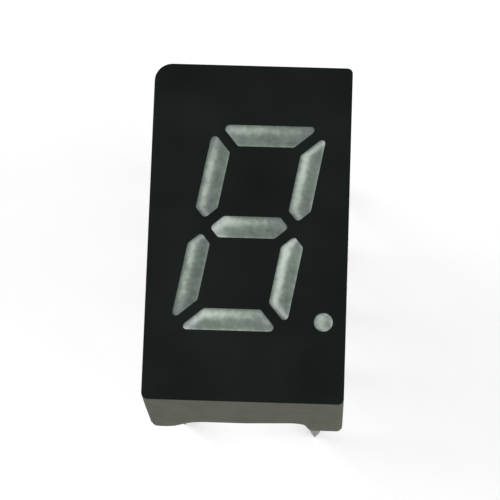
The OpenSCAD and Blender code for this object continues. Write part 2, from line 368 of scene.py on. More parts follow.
shader = add(tree, "ShaderNodeBsdfPrincipled", {"IOR": 1.5, "Specular IOR Level": 0.045},
             {"Base Color": flecked, "Roughness": wear, "Normal": pebble_bump})
add(tree, "ShaderNodeOutputMaterial", links={"Surface": shader})

# One upright edge is blunt at its foot, and the wall has rings of points at these heights, so
# that the edge can change between them.
blunt_corner, blunt_from, blunt_r, blunt_curve = (-1, -1), 3.4, 0.31, 0.7
wall_levels = [wall_top, wall_top - 0.4, blunt_from, 2.4, 1.8]


def worn(points, heights):
    """Moves the points of the blunt edge in along its diagonal, more so towards its foot."""
    centre = Vector([way * (half - blunt_r) for way, half in zip(blunt_corner, body_half)])
    moved = []
    for p, z in zip(points, heights):
        out = Vector(((p.x - centre.x) * blunt_corner[0], (p.y - centre.y) * blunt_corner[1]))
        share = min(max((blunt_from - z) / blunt_from, 0), 1) ** blunt_curve
        if out.x > 0 and out.y > 0 and out.length > blunt_r:
            p = p.lerp(centre + (p - centre) * blunt_r / out.length, share)
        moved.append(p)
    return moved


outer_way, inner_way = outward(outer_line), outward(inner_line)
bm = bmesh.new()
rings = [ring(bm, worn(outer_line, [z] * len(stations)), [z] * len(stations)) for z in wall_levels]
for come_in, left_over in quarter(4):
    heights = [z + outer_round * left_over for z in edge_z]
    rounded = [p - n * outer_round * come_in for p, n in zip(outer_line, outer_way)]
    rings.append(ring(bm, worn(rounded, heights), heights))
for come_in, left_over in quarter(3):
    rounded = [q + n * inner_round * left_over for q, n in zip(inner_line, inner_way)]
    rings.append(ring(bm, rounded, [z + inner_round * come_in for z in edge_z]))
rings.append(ring(bm, inner_line, [block_z] * len(stations)))
for upper, lower in zip(rings, rings[1:]):
    skin(bm, lower, upper)

# Each light's well, as its outline at the face and at the block's back. Where the CAD gives the
# two unlike numbers of points, the one at the back is the one at the face made to fit its box.
point_low, point_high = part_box("decimal_point")
point_at = centre_of("decimal_point")
point_r, point_floor_r, POINT_STEPS = (point_high.x - point_low.x) / 2 / MM, 0.31, 48
wells = {}
for letter in "abcdefg":
    rim, floor = hull_at("segment_" + letter, face_z), hull_at("segment_" + letter, block_z)
    if len(rim) != len(floor):
        (rim_low, rim_high), (low, high) = box_of(rim), box_of(floor)
        floor = [
            Vector([low[k] + (p[k] - rim_low[k]) / (rim_high[k] - rim_low[k]) * (high[k] - low[k])
                    for k in (0, 1)])
            for p in rim
        ]
    wells["segment_" + letter] = (rim, floor)
wells["decimal_point"] = tuple(circle(point_at, radius, POINT_STEPS) for radius in (point_r, point_floor_r))

mouths, floors = [], []
ink_share = (face_z - wall_top) / (face_z - block_z)
for rim, floor in wells.values():
    mouth = ring(bm, [a.lerp(b, ink_share) for a, b in zip(rim, floor)], [wall_top] * len(rim))
    foot = ring(bm, floor, [block_z] * len(floor))
    skin(bm, mouth, foot)
    mouths.append(mouth)
    floors.append(foot)

# The two pegs that locate the circuit board. Each end is rounded by rings at these insets and
# heights above the end.
peg_centres = (Vector((-0.9, -4.95)), Vector((0.1, 4.95)))
peg_r, peg_proud, PEG_STEPS = 0.45, 0.12, 32
peg_end = board_back_z - peg_proud
peg_round = ((0, 0.05), (0.015, 0.015), (0.05, 0))
for centre in peg_centres:
    lower = ring(bm, circle(centre, peg_r, PEG_STEPS), [block_z] * PEG_STEPS)
    floors.append(lower)
    for inset, height in peg_round:
        upper = lower
        lower = ring(bm, circle(centre, peg_r - inset, PEG_STEPS), [peg_end + height] * PEG_STEPS)
        skin(bm, lower, upper)
    sheet_between(bm, lower, [], up=False)
sheet_between(bm, rings[0], mouths, up=True)
sheet_between(bm, rings[-1], floors, up=False)
housing = new_piece("housing_moulding", bm, housing_grey, sharp_over=35)
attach(housing, "root")
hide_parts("housing")

# ==== Face ink ======================================================
# A screen-printed coat of black ink over the whole face, open over each light. It hides the
# grey block, so that only a lit segment is seen.

# Matt ink: almost black with a cold green cast, uneven where the screen lay thicker, and the
# fine orange peel that dries into such a print.
ink_black, tree, place = start_material("screen-printed matt black ink")
drift = grain(tree, place, across=3.2, detail=3.0)
tone = ramp(tree, drift, {0.32: "#0e1311", 0.7: "#181d1c"})
peel = grain(tree, place, across=0.06, detail=2.0, roughness=0.7)
peel_bump = add(tree, "ShaderNodeBump", {"Strength": 0.25, "Distance": 0.008 * MM}, {"Height": peel})
sheen = add(tree, "ShaderNodeMapRange", {"To Min": 0.6, "To Max": 0.72}, {"Value": drift})
shader = add(tree, "ShaderNodeBsdfPrincipled", {"IOR": 1.5, "Specular IOR Level": 0.08},
             {"Base Color": tone, "Roughness": sheen, "Normal": peel_bump})
add(tree, "ShaderNodeOutputMaterial", links={"Surface": shader})


def length_of(line):
    """The length of the line through some points."""
    return sum((b - a).length for a, b in zip(line, line[1:]))


def even_loop(points, spacing):
    """A closed outline cut evenly, so that its long sides have as many points as its bends."""
    closed = points + points[:1]
    return along(closed, round(length_of(closed) / spacing))[:-1]


def offset(points, reach):
    """A closed outline moved out by reach, or in where reach is negative."""
    return [p + n * reach for p, n in zip(points, outward(points))]


# The film's outer edge and its lip round each light are rounded by these radii.
ink_edge, ink_lip, lip_spacing = 0.032, 0.02, 0.05
bm = bmesh.new()
ink_base = ring(bm, outer_line, [wall_top] * len(outer_line))
last = ink_base
for come_in, left_over in quarter(4):
    this = ring(bm, [p - n * ink_edge * come_in for p, n in zip(outer_line, outer_way)],
                [face_z - ink_edge * left_over] * len(outer_line))
    skin(bm, last, this)
    last = this
lows, tops = [], []
for rim, _ in wells.values():
    rim = even_loop(rim, lip_spacing)
    upper = ring(bm, rim, [wall_top] * len(rim))
    lows.append(upper)
    for come_in, left_over in quarter(3):
        this = ring(bm, offset(rim, ink_lip * come_in), [face_z - ink_lip * left_over] * len(rim))
        skin(bm, this, upper)
        upper = this
    tops.append(upper)
sheet_between(bm, ink_base, lows, up=False)
sheet_between(bm, last, tops, up=True)
ink = new_piece("face_ink_film", bm, ink_black, sharp_over=50)
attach(ink, "root")
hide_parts("face_ink")

# ==== Lit segments and decimal point ================================
# Each well is filled with milky epoxy, cast face down on a tape, so its top is flush with the
# ink and nearly flat. The white wall of the well lies close under the rim. The light it would
# show through the resin is painted into the epoxy's colour.

# Epoxy full of fine white filler: grey green where it is deep, a little violet at the ends, and
# mottled. Painted light makes it nearly white in a band under the left or upper rim, along the far
# rim and at the first end. A painted shade line darkens it just inside the rim. The filler itself
# is too fine to see; it is drawn 0.17 mm across, in patches of about half a millimetre.
diffused, tree, place = start_material("milky diffused epoxy")
# This attribute holds the resin's depth tone with painted light and painted shade added to it.
depth_and_painted_light = add(tree, "ShaderNodeAttribute", {"attribute_name": "depth_and_painted_light"}).outputs["Fac"]
end_near = add(tree, "ShaderNodeAttribute", {"attribute_name": "end_near"}).outputs["Fac"]
mottle = grain(tree, place, across=0.17, detail=3.0, roughness=0.6)
mottle_span = add(tree, "ShaderNodeMapRange",
                  {"From Min": 0.3, "From Max": 0.7, "To Min": -0.1, "To Max": 0.1}, {"Value": mottle})
patch = grain(tree, place, across=0.55, detail=2.0)
patch_span = add(tree, "ShaderNodeMapRange",
                 {"From Min": 0.3, "From Max": 0.7, "To Min": -0.07, "To Max": 0.07}, {"Value": patch})
speckled = add(tree, "ShaderNodeMath", {"operation": "ADD"}, {0: mottle_span, 1: patch_span})
level = add(tree, "ShaderNodeMath", {"operation": "ADD"}, {0: depth_and_painted_light, 1: speckled})
# Dark grey green where the resin is deep or shade is painted, nearly white where light is painted.
tone_and_light_ramp = ramp(tree, level, {0: "#47524b", 0.45: "#77837a", 1: "#c0cbc1"})
violet = add(tree, "ShaderNodeMix",
             {"data_type": "RGBA", "blend_type": "MULTIPLY", 7: (1.0, 0.91, 1.0, 1.0)},
             {0: end_near, 6: tone_and_light_ramp}).outputs[2]
resin_bump = add(tree, "ShaderNodeBump", {"Strength": 0.3, "Distance": 0.01 * MM}, {"Height": mottle})
shader = add(tree, "ShaderNodeBsdfPrincipled", {"IOR": 1.5, "Roughness": 0.5, "Specular IOR Level": 0.3},
             {"Base Color": violet, "Normal": resin_bump})
add(tree, "ShaderNodeOutputMaterial", links={"Surface": shader})

# Painted light on each segment, standing in for its lit white well seen through the resin: how
# bright it is in its middle, along the band under its left or upper rim from one end to the
# other, and at its first end.
painted_shine = {
    "segment_a": (0.27, 0.44, 0.13, 0.12),
    "segment_b": (0.3, 0.7, 0.44, 0.0),
    "segment_c": (0.28, 0.76, 0.6, 0.14),
    "segment_d": (0.35, 0.64, 0.16, 0.04),
    "segment_e": (0.17, 0.6, 0.36, 0.05),
    "segment_f": (0.2, 0.5, 0.58, 0.0),
    "segment_g": (0.25, 0.56, 0.12, 0.34),
    "decimal_point": (0.46, 0.24, 0.24, 0.0),
}
digit_lean = math.tan(math.radians(10))
# In from the rim: where the painted light band lies and its half width, and how dark and wide
# the painted shade line along the rim is.
band_at, band_width = 0.22, 0.17
painted_rim_shade, rim_width = 0.22, 0.05
# The widths and places below are shares of a segment's length: how much the painted light band
# fades towards both ends, where the painted light at the first end lies, and how far in the
# violet shows.
end_fade, fade_width = 0.42, 0.14
tip_at, tip_width = 0.1, 0.2
violet_reach = 0.2
# How strong the painted light along the far rim is, and its half width as a share of the
# segment's width.
painted_far_glow, far_width = 0.22, 0.09


def within(p, loop):
    """True for a point inside a closed outline."""
    inside = False
    for a, b in zip(loop, loop[1:] + loop[:1]):
        if (a.y > p.y) != (b.y > p.y) and p.x < a.x + (p.y - a.y) * (b.x - a.x) / (b.y - a.y):
            inside = not inside
    return inside


def bell(x, middle, width):
    """1 at the middle, falling to about a third at width from it."""
    return math.exp(-(((x - middle) / width) ** 2))


def is_upright(rim):
    """True for a segment that is taller than it is wide, and for the round point."""
    nearly_round = 0.05
    low, high = box_of(rim)
    return high.y - low.y > high.x - low.x - nearly_round


def place_in(p, rim):
    """Where p lies in an upright copy of a segment: across it and along it, each from 0 to 1."""
    here, *outline = [Vector((q.x - digit_lean * q.y, q.y)) for q in [p, *rim]]
    low, high = box_of(outline)
    right, down = (here.x - low.x) / (high.x - low.x), (high.y - here.y) / (high.y - low.y)
    return (right, down) if is_upright(rim) else (down, right)


def rim_gap(p, rim):
    """How far the rim is from p: straight left in an upright segment, straight up in a level one."""
    upright, gap = is_upright(rim), 0.0
    for a, b in zip(rim, rim[1:] + rim[:1]):
        if upright and (a.y > p.y) != (b.y > p.y):
            gap = max(gap, p.x - a.x - (p.y - a.y) * (b.x - a.x) / (b.y - a.y))
        if not upright and (a.x > p.x) != (b.x > p.x):
            gap = max(gap, a.y + (p.x - a.x) * (b.y - a.y) / (b.x - a.x) - p.y)
    return gap


def depth_and_painted_light_at(p, rim, name):
    """The resin's tone at p: its depth tone, with painted light in a band under the left or upper
    rim, along the far rim and at the first end, less a painted shade line just inside the rim.
    """
    across, share = place_in(p, rim)
    middle, start, end, tip = painted_shine[name]
    gap = rim_gap(p, rim)
    # Painted light: a band under the left or upper rim that fades towards both ends, and a glow along the far
    # rim.
    band = bell(gap, band_at, band_width) * (start + (end - start) * share)
    band *= 1 - end_fade * bell(min(share, 1 - share), 0, fade_width)
    painted_far_rim = painted_far_glow * bell(across, 1.0, far_width)
    # Added to the middle's tone: painted light at the first end, less painted shade just inside the rim.
    return middle + band + painted_far_rim + tip * bell(share, tip_at, tip_width) - painted_rim_shade * bell(gap, 0, rim_width)


def end_nearness(p, rim):
    """How close p is to either end of a segment, from 0 at its middle to 1."""
    share = place_in(p, rim)[1]
    return max(0.0, 1 - min(share, 1 - share) / violet_reach)


def swayed(x, y, sway, waves):
    """A point of a grid moved a little off it, so that no four neighbours make a square."""
    return Vector((x + sway * math.sin(waves[0] * y), y + sway * math.sin(waves[1] * x)))


# The top is a little below the face at its rim and dishes further in, and its edge is eased from
# the shoulder up.
resin_sunk, resin_dish, dish_reach = 0.006, 0.012, 0.2
shoulder_down, edge_in = 0.03, 0.004
resin_spacing, resin_margin, least_steps = 0.05, 0.03, 24
for name, (rim, floor) in wells.items():
    closed_rim, closed_floor = rim + rim[:1], floor + floor[:1]
    steps = max(least_steps, round(length_of(closed_rim) / resin_spacing))
    top_loop, low_loop = along(closed_rim, steps)[:-1], along(closed_floor, steps)[:-1]
    bm = bmesh.new()
    foot = ring(bm, low_loop, [block_z] * steps)
    shoulder = ring(bm, top_loop, [face_z - shoulder_down] * steps)
    skin(bm, foot, shoulder)
    edge = ring(bm, offset(top_loop, -edge_in), [face_z - resin_sunk] * steps)
    skin(bm, shoulder, edge)
    (x, bottom), (right, top) = box_of(rim)
    inner = offset(top_loop, -resin_margin)
    grid = []
    while x < right:
        y = bottom
        while y < top:
            p = swayed(x, y, sway=0.01, waves=(97, 83))
            if within(p, inner):
                grid.append(p)
            y += resin_spacing
        x += resin_spacing
    depths = [min(1.0, min((p - q).length for q in top_loop) / dish_reach) for p in grid]
    inner_verts = ring(bm, grid, [face_z - resin_sunk - resin_dish * depth for depth in depths])
    sheet_between(bm, edge, [], up=True, spare=inner_verts)
    sheet_between(bm, foot, [], up=False)
    points = [Vector((v.co.x / MM, v.co.y / MM)) for v in bm.verts]
    piece = new_piece(name + "_resin", bm, diffused, sharp_over=60)
    # Each point is given its depth tone with the painted light and painted shade of its well.
    seen = piece.data.attributes.new("depth_and_painted_light", "FLOAT", "POINT")
    seen.data.foreach_set("value", [depth_and_painted_light_at(p, rim, name) for p in points])
    ends = piece.data.attributes.new("end_near", "FLOAT", "POINT")
    ends.data.foreach_set("value", [end_nearness(p, rim) for p in points])
    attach(piece, "root")
    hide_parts(name)

# ==== Circuit board =================================================
# A thin glass-epoxy board with black solder mask, which rests on the block's ledge and is held
# by the two pegs. Only its back shows, through the potting resin.

# Solder mask: black with a blue green cast, thicker and paler in soft patches, and faintly
# ribbed by the glass cloth under it. The cloth's rows are drawn 0.5 mm apart, so that they show.
# A wave texture's rows lie 0.314 / Scale apart.
board_black, tree, place = start_material("black solder mask over glass epoxy")
cloth_turn = add(tree, "ShaderNodeMapping", {"Rotation": (0, 0, math.radians(3))}, {"Vector": place})
ribs = [
    add(tree, "ShaderNodeTexWave",
        {"Scale": 0.314 / (0.5 * MM), "bands_direction": way, "Distortion": 1.2, "Detail": 1.0},
        {"Vector": cloth_turn}).outputs["Fac"] for way in ("X", "Y")
]
cloth = add(tree, "ShaderNodeMath", {"operation": "MULTIPLY"}, {0: ribs[0], 1: ribs[1]})
pooled = grain(tree, place, across=1.4, detail=4.0, roughness=0.6)
mask_tone = ramp(tree, pooled, {0.3: "#0b1112", 0.72: "#161f21"})
cloth_bump = add(tree, "ShaderNodeBump", {"Strength": 0.12, "Distance": 0.01 * MM}, {"Height": cloth})
shader = add(tree, "ShaderNodeBsdfPrincipled", {"IOR": 1.5, "Roughness": 0.4},
             {"Base Color": mask_tone, "Normal": cloth_bump})
add(tree, "ShaderNodeOutputMaterial", links={"Surface": shader})


def give_material(node, material):
    """Gives a CAD node its material."""
    nodes[node].data.materials.clear()
    nodes[node].data.materials.append(material)


give_material("circuit_board", board_black)

# ==== Copper ========================================================
# Etched copper on both faces of the board. The back has a pad round each pin and two test
# discs, browned under the resin; the front has the tracks and pads under the lights.

# Old copper under amber resin: olive and blotched, and stained a dark red brown by the heat
# round each pin. The stain is drawn from the distance to the nearest pin.
back_brown, tree, place = start_material("browned etched copper")
spots = grain(tree, place, across=0.45, detail=3.0)
tarnish = ramp(tree, spots, {0.3: "#5d573f", 0.7: "#88815f"})
pin_pitch, row_from_middle = 2.54 * MM, 2.54 * MM
folded = add(tree, "ShaderNodeSeparateXYZ", links={0: place}).outputs
aside = add(tree, "ShaderNodeMath", {"operation": "ABSOLUTE"}, {0: folded["X"]})
from_row = add(tree, "ShaderNodeMath", {"operation": "SUBTRACT", 1: row_from_middle}, {0: aside})
from_pin = add(tree, "ShaderNodeMath", {"operation": "PINGPONG", 1: pin_pitch / 2}, {0: folded["Y"]})
flat_place = add(tree, "ShaderNodeCombineXYZ", links={"X": from_row, "Y": from_pin})
pin_far = add(tree, "ShaderNodeVectorMath", {"operation": "LENGTH"}, {0: flat_place}).outputs["Value"]
heat = add(tree, "ShaderNodeMapRange",
           {"interpolation_type": "SMOOTHSTEP", "From Min": 0.3 * MM, "From Max": 0.68 * MM,
            "To Min": 0.95, "To Max": 0.0}, {"Value": pin_far})
stained = add(tree, "ShaderNodeMix", {"data_type": "RGBA", 7: hex_colour("#3a2216")},
              {0: heat, 6: tarnish}).outputs[2]
shader = add(tree, "ShaderNodeBsdfPrincipled", {"Metallic": 0.2, "Roughness": 0.55}, {"Base Color": stained})
add(tree, "ShaderNodeOutputMaterial", links={"Surface": shader})
give_material("back_copper", back_brown)

# Freshly etched copper: warm and bright, with a light brushed grain from cleaning.
front_bright, tree, place = start_material("bright etched copper")
brushed = grain(tree, place, across=0.05, detail=2.0)
bright = add(tree, "ShaderNodeMapRange", {"To Min": 0.25, "To Max": 0.45}, {"Value": brushed})
shader = add(tree, "ShaderNodeBsdfPrincipled", {"Base Color": hex_colour("#c9875a"), "Metallic": 1.0},
             {"Roughness": bright})
add(tree, "ShaderNodeOutputMaterial", links={"Surface": shader})
give_material("front_copper", front_bright)

# ==== Chips and bond wires ==========================================
# One LED chip sits in each well, glued to its pad, with a gold wire from its top to the pad
# beside it. Both are sealed inside the milky resin.

# Sawn crystal: dull yellow green with fine saw lines.
chip_crystal, tree, place = start_material("sawn gallium crystal")
saw = grain(tree, place, across=0.03, detail=1.0)
saw_tone = add(tree, "ShaderNodeMix",
               {"data_type": "RGBA", 6: hex_colour("#b7a556"), 7: hex_colour("#ded08a")},
               {0: saw}).outputs[2]
shader = add(tree, "ShaderNodeBsdfPrincipled", {"Roughness": 0.35}, {"Base Color": saw_tone})
add(tree, "ShaderNodeOutputMaterial", links={"Surface": shader})

# Drawn gold: bright yellow with very fine draw marks.
wire_gold, tree, place = start_material("drawn gold wire")
draw = grain(tree, place, across=0.02, detail=1.0)
draw_rough = add(tree, "ShaderNodeMapRange", {"To Min": 0.18, "To Max": 0.3}, {"Value": draw})
shader = add(tree, "ShaderNodeBsdfPrincipled", {"Base Color": hex_colour("#e2b04a"), "Metallic": 1.0},
             {"Roughness": draw_rough})
add(tree, "ShaderNodeOutputMaterial", links={"Surface": shader})

for light in [*"abcdefg", "point"]:
    give_material("led_chip_" + light, chip_crystal)
    give_material("bond_wire_" + light, wire_gold)

# ==== Pins ==========================================================
# Ten round leads of tinned wire, two rows of five, pressed into the board and cut to length.
# Each has bent a little in handling, and its end shows the cutter's bright face.

# Tinned wire: soft grey metal, streaked along its length by drawing, dulled in patches.
tinned, tree, place = start_material("tinned drawn wire")
stretch = add(tree, "ShaderNodeMapping", {"Scale": (1.0, 1.0, 0.06)}, {"Vector": place})
streaks = grain(tree, stretch, across=0.05, detail=3.0)
dull = grain(tree, place, across=0.7, detail=3.0)
cut_near = add(tree, "ShaderNodeAttribute", {"attribute_name": "cut_near"}).outputs["Fac"]
bare = add(tree, "ShaderNodeMapRange", {"From Min": 0.2, "From Max": 0.9}, {"Value": cut_near})
tin_tone = add(tree, "ShaderNodeMix",
               {"data_type": "RGBA", 6: hex_colour("#33322f"), 7: hex_colour("#5d5b54")},
               {0: dull}).outputs[2]
cut_tone = add(tree, "ShaderNodeMix", {"data_type": "RGBA", 7: hex_colour("#78746b")},
               {0: bare, 6: tin_tone}).outputs[2]
tin_rough = add(tree, "ShaderNodeMapRange", {"To Min": 0.22, "To Max": 0.5}, {"Value": streaks})
streak_bump = add(tree, "ShaderNodeBump", {"Strength": 0.2, "Distance": 0.006 * MM}, {"Height": streaks})
shader = add(tree, "ShaderNodeBsdfPrincipled", {"Metallic": 1.0},
             {"Base Color": cut_tone, "Roughness": tin_rough, "Normal": streak_bump})
add(tree, "ShaderNodeOutputMaterial", links={"Surface": shader})

# One tree draws a lead down from the board. It is straight to the plane of the feet, swells into
# its hole above it, leans below it, and ends in the chisel edge that a side cutter leaves. That
# edge's thickness and width are shares of the wire's, and the lean grows towards the tip.
WIRE_RINGS, WIRE_SIDES = 240, 24
edge_thin, edge_wide, lean_curve = 0.28, 1.1, 1.3
lead_tree = bpy.data.node_groups.new("Cut wire lead", "GeometryNodeTree")
for socket, kind in (
    ("Top", "Vector"), ("Lean", "Vector"), ("Length", "Float"), ("Root Length", "Float"),
    ("Swell Length", "Float"), ("Root Radius", "Float"), ("Free Radius", "Float"),
    ("Pinch Length", "Float"), ("Pinch Turn", "Float"), ("Material", "Material"),
):
    lead_tree.interface.new_socket(socket, in_out="INPUT", socket_type="NodeSocket" + kind)
lead_tree.interface.new_socket("Geometry", in_out="OUTPUT", socket_type="NodeSocketGeometry")
given = add(lead_tree, "NodeGroupInput").outputs
down = add(lead_tree, "ShaderNodeMath", {"operation": "MULTIPLY", 1: -1.0}, {0: given["Length"]})
line_end = add(lead_tree, "ShaderNodeCombineXYZ", links={"Z": down})
line = add(lead_tree, "GeometryNodeCurvePrimitiveLine", links={"End": line_end})
cut = add(lead_tree, "GeometryNodeResampleCurve", {"Count": WIRE_RINGS}, {"Curve": line})
at = add(lead_tree, "GeometryNodeInputPosition")
height = add(lead_tree, "ShaderNodeSeparateXYZ", links={0: at}).outputs["Z"]
depth = add(lead_tree, "ShaderNodeMath", {"operation": "MULTIPLY", 1: -1.0}, {0: height})
free = add(lead_tree, "ShaderNodeMath", {"operation": "SUBTRACT"}, {0: depth, 1: given["Root Length"]})
swell = add(lead_tree, "ShaderNodeMath", {"operation": "DIVIDE"}, {0: free, 1: given["Swell Length"]})
radius = add(lead_tree, "ShaderNodeMapRange", {"From Min": -1.0, "From Max": 0.0},
             {"Value": swell, "To Min": given["Root Radius"], "To Max": given["Free Radius"]})
round_wire = add(lead_tree, "GeometryNodeCurvePrimitiveCircle", {"Resolution": WIRE_SIDES, "Radius": 1.0})
tube = add(lead_tree, "GeometryNodeCurveToMesh", {"Fill Caps": True},
           {"Curve": cut, "Profile Curve": round_wire, "Scale": radius})
to_end = add(lead_tree, "ShaderNodeMath", {"operation": "SUBTRACT"}, {0: given["Length"], 1: depth})
end_share = add(lead_tree, "ShaderNodeMath", {"operation": "DIVIDE", "use_clamp": True},
                {0: to_end, 1: given["Pinch Length"]})
narrow = add(lead_tree, "ShaderNodeMapRange",
             {"interpolation_type": "SMOOTHSTEP", "To Min": edge_thin, "To Max": 1.0}, {"Value": end_share})
wide = add(lead_tree, "ShaderNodeMapRange",
           {"interpolation_type": "SMOOTHSTEP", "To Min": edge_wide, "To Max": 1.0}, {"Value": end_share})
pinch = add(lead_tree, "ShaderNodeCombineXYZ", {"Z": 1.0}, {"X": narrow, "Y": wide})
pinched_at = add(lead_tree, "ShaderNodeVectorMath", {"operation": "MULTIPLY"}, {0: at, 1: pinch})
pinched = add(lead_tree, "GeometryNodeSetPosition", links={"Geometry": tube, "Position": pinched_at})
nearness = add(lead_tree, "ShaderNodeMath", {"operation": "SUBTRACT", 0: 1.0}, {1: end_share})
marked = add(lead_tree, "GeometryNodeStoreNamedAttribute",
             {"data_type": "FLOAT", "domain": "POINT", "Name": "cut_near"},
             {"Geometry": pinched, "Value": nearness})
turn = add(lead_tree, "ShaderNodeCombineXYZ", links={"Z": given["Pinch Turn"]})
turned = add(lead_tree, "GeometryNodeTransform", links={"Geometry": marked, "Rotation": turn})
free_span = add(lead_tree, "ShaderNodeMath", {"operation": "SUBTRACT"},
                {0: given["Length"], 1: given["Root Length"]})
share = add(lead_tree, "ShaderNodeMath", {"operation": "DIVIDE", "use_clamp": True}, {0: free, 1: free_span})
bent = add(lead_tree, "ShaderNodeMath", {"operation": "POWER", 1: lean_curve}, {0: share})
sideways = add(lead_tree, "ShaderNodeVectorMath", {"operation": "SCALE"}, {0: given["Lean"], "Scale": bent})
leaned = add(lead_tree, "GeometryNodeSetPosition", links={"Geometry": turned, "Offset": sideways})
moved = add(lead_tree, "GeometryNodeTransform", links={"Geometry": leaned, "Translation": given["Top"]})
whole = add(lead_tree, "GeometryNodeRealizeInstances", links={"Geometry": moved})
coated = add(lead_tree, "GeometryNodeSetMaterial", links={"Geometry": whole, "Material": given["Material"]})
add(lead_tree, "NodeGroupOutput", links={0: coated})
socket_of = {item.name: item.identifier for item in lead_tree.interface.items_tree if item.in_out == "INPUT"}

# Each lead's sideways lean at its tip, in x and y, and the direction of its chisel edge in degrees.
leans = {
    1: (0.05, -0.08, 20), 2: (-0.06, 0.05, 75), 3: (0.04, 0.1, -30), 4: (0.1, -0.04, 50),
    5: (-0.16, 0.4, 10), 6: (0.03, 0.06, -4), 7: (0.05, 0.12, 85), 8: (-0.09, 0.06, 35),
    9: (-0.03, -0.1, -60), 10: (0.08, 0.04, 5),
}
pin_low, pin_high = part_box("pin_1")
root_r = (pin_high.x - pin_low.x) / 2 / MM
free_r, swell_length, pinch_length = 0.2, 0.6, 0.55
for number, (lean_x, lean_y, edge_turn) in leans.items():
    name = f"pin_{number}"
    low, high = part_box(name)
    host = new_object(name + "_host", bpy.data.meshes.new(name + "_host"))
    modifier = host.modifiers.new("Lead", "NODES")
    modifier.node_group = lead_tree
    for socket, value in (
        ("Top", ((low.x + high.x) / 2, (low.y + high.y) / 2, high.z)),
        ("Lean", (lean_x * MM, lean_y * MM, 0.0)),
        ("Length", high.z - low.z),
        ("Root Length", high.z),
        ("Root Radius", root_r * MM),
        ("Free Radius", free_r * MM),
        ("Swell Length", swell_length * MM),
        ("Pinch Length", pinch_length * MM),
        ("Pinch Turn", math.radians(edge_turn)),
        ("Material", tinned),
    ):
        modifier[socket_of[socket]] = value
    drawn = host.evaluated_get(bpy.context.evaluated_depsgraph_get())
    mesh = bpy.data.meshes.new_from_object(drawn)
    mesh.name = name + "_lead"
    bpy.data.objects.remove(host)
    lead = new_object(name + "_lead", mesh)
    for polygon in mesh.polygons:
        polygon.use_smooth = len(polygon.vertices) == 4
    mesh.set_sharp_from_angle(angle=math.radians(50))
    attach(lead, "root")
    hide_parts(name)

# ==== Potting resin =================================================
# Clear epoxy, a little amber, poured over the board's back. It has crept up the long walls, to
# the cut edges of the end walls and up every pin, and set in a shallow trough.

# Cast epoxy: glassy and slightly yellow, with slow ripples where it shrank.
clear_amber, tree, place = start_material("clear amber potting epoxy")
ripple = grain(tree, place, across=1.6, detail=1.0)
ripple_bump = add(tree, "ShaderNodeBump", {"Strength": 0.3, "Distance": 0.05 * MM}, {"Height": ripple})
shader = add(tree, "ShaderNodeBsdfPrincipled",
             {"Base Color": hex_colour("#e9e2c8"), "IOR": 1.53, "Specular IOR Level": 0.3, "Roughness": 0.04,
              "Transmission Weight": 1.0}, {"Normal": ripple_bump})
add(tree, "ShaderNodeOutputMaterial", links={"Surface": shader})

# The trough's level in its middle and how much lower it hangs at the long walls. Each creep is
# how much further the resin hangs at a wall or pin, and each reach how fast that dies away. It
# bulges by brim_past beyond the end walls' cut edges, and slow sags of sag_depth run over it.
valley_z, long_wall_rise = 1.35, 0.35
wall_creep, wall_reach = 0.3, 0.22
end_creep, end_reach = 0.14, 0.35
pin_creep, pin_reach = 0.24, 0.16
brim_past, brim_reach = 0.03, 1.3
sag_depth, sag_across, sag_along, sag_seed = 0.035, 0.7, 0.45, 3.1
pin_places = [centre_of(f"pin_{number}") for number in leans]
wall_overlap, pin_overlap, board_overlap = 0.01, 0.005, 0.02
pin_hole, bed_z = root_r - pin_overlap, board_back_z + board_overlap


def resin_height(p):
    """The height of the resin's open surface: it hangs lower, towards the feet, where it crept,
    and follows the cut edge of the end wall."""
    bow = (p.x / cavity_half.x) ** 2
    z = valley_z - long_wall_rise * bow
    z -= wall_creep * math.exp(-(cavity_half.x - abs(p.x)) / wall_reach)
    z -= end_creep * math.exp(-(cavity_half.y - abs(p.y)) / end_reach)
    nearest = min((p - q).length for q in pin_places)
    z -= pin_creep * math.exp(-max(nearest - pin_hole, 0) / pin_reach)
    z += sag_depth * noise.noise(Vector((p.x * sag_across, p.y * sag_along, sag_seed)))
    brim = notch_height(Vector((p.x, math.copysign(body_half.y, p.y)))) - brim_past
    return z + max(brim - z, 0) * math.exp(-(cavity_half.y - abs(p.y)) / brim_reach)


# The casting overlaps what it touches a little, so that no gap shows. Its open surface has
# points on a swayed grid, and on rings that lie closer towards each pin.
rim_spacing, surface_spacing, surface_margin, grid_gap = 0.1, 0.07, 0.05, 0.04
COLLAR_STEPS, COLLAR_RINGS = 40, (0.02, 0.045, 0.075, 0.11, 0.15, 0.2, 0.26, 0.33, 0.41)
collar_reach = pin_hole + COLLAR_RINGS[-1] + grid_gap
bm = bmesh.new()
grown = Vector((cavity_half.x + wall_overlap, cavity_half.y + wall_overlap))
rim_line = even_loop([p for side in corners for p in corner_arc(grown, side, cavity_r)], rim_spacing)
surface_rim = ring(bm, rim_line, [resin_height(p) for p in rim_line])
bed_rim = ring(bm, rim_line, [bed_z] * len(rim_line))
skin(bm, surface_rim, bed_rim)
inner = offset(rim_line, -surface_margin)
collars, bed_holes, surface_points = [], [], []
for q in pin_places:
    collar = circle(q, pin_hole, COLLAR_STEPS)
    collars.append(ring(bm, collar, [resin_height(p) for p in collar]))
    bed_holes.append(ring(bm, collar, [bed_z] * COLLAR_STEPS))
    skin(bm, bed_holes[-1], collars[-1])
    for grow in COLLAR_RINGS:
        surface_points += [p for p in circle(q, pin_hole + grow, COLLAR_STEPS) if within(p, inner)]
y = -cavity_half.y
while y < cavity_half.y:
    x = -cavity_half.x
    while x < cavity_half.x:
        p = swayed(x, y, sway=0.008, waves=(61, 57))
        if within(p, inner) and min((p - q).length for q in pin_places) > collar_reach:
            surface_points.append(p)
        x += surface_spacing
    y += surface_spacing
surface_verts = ring(bm, surface_points, [resin_height(p) for p in surface_points])
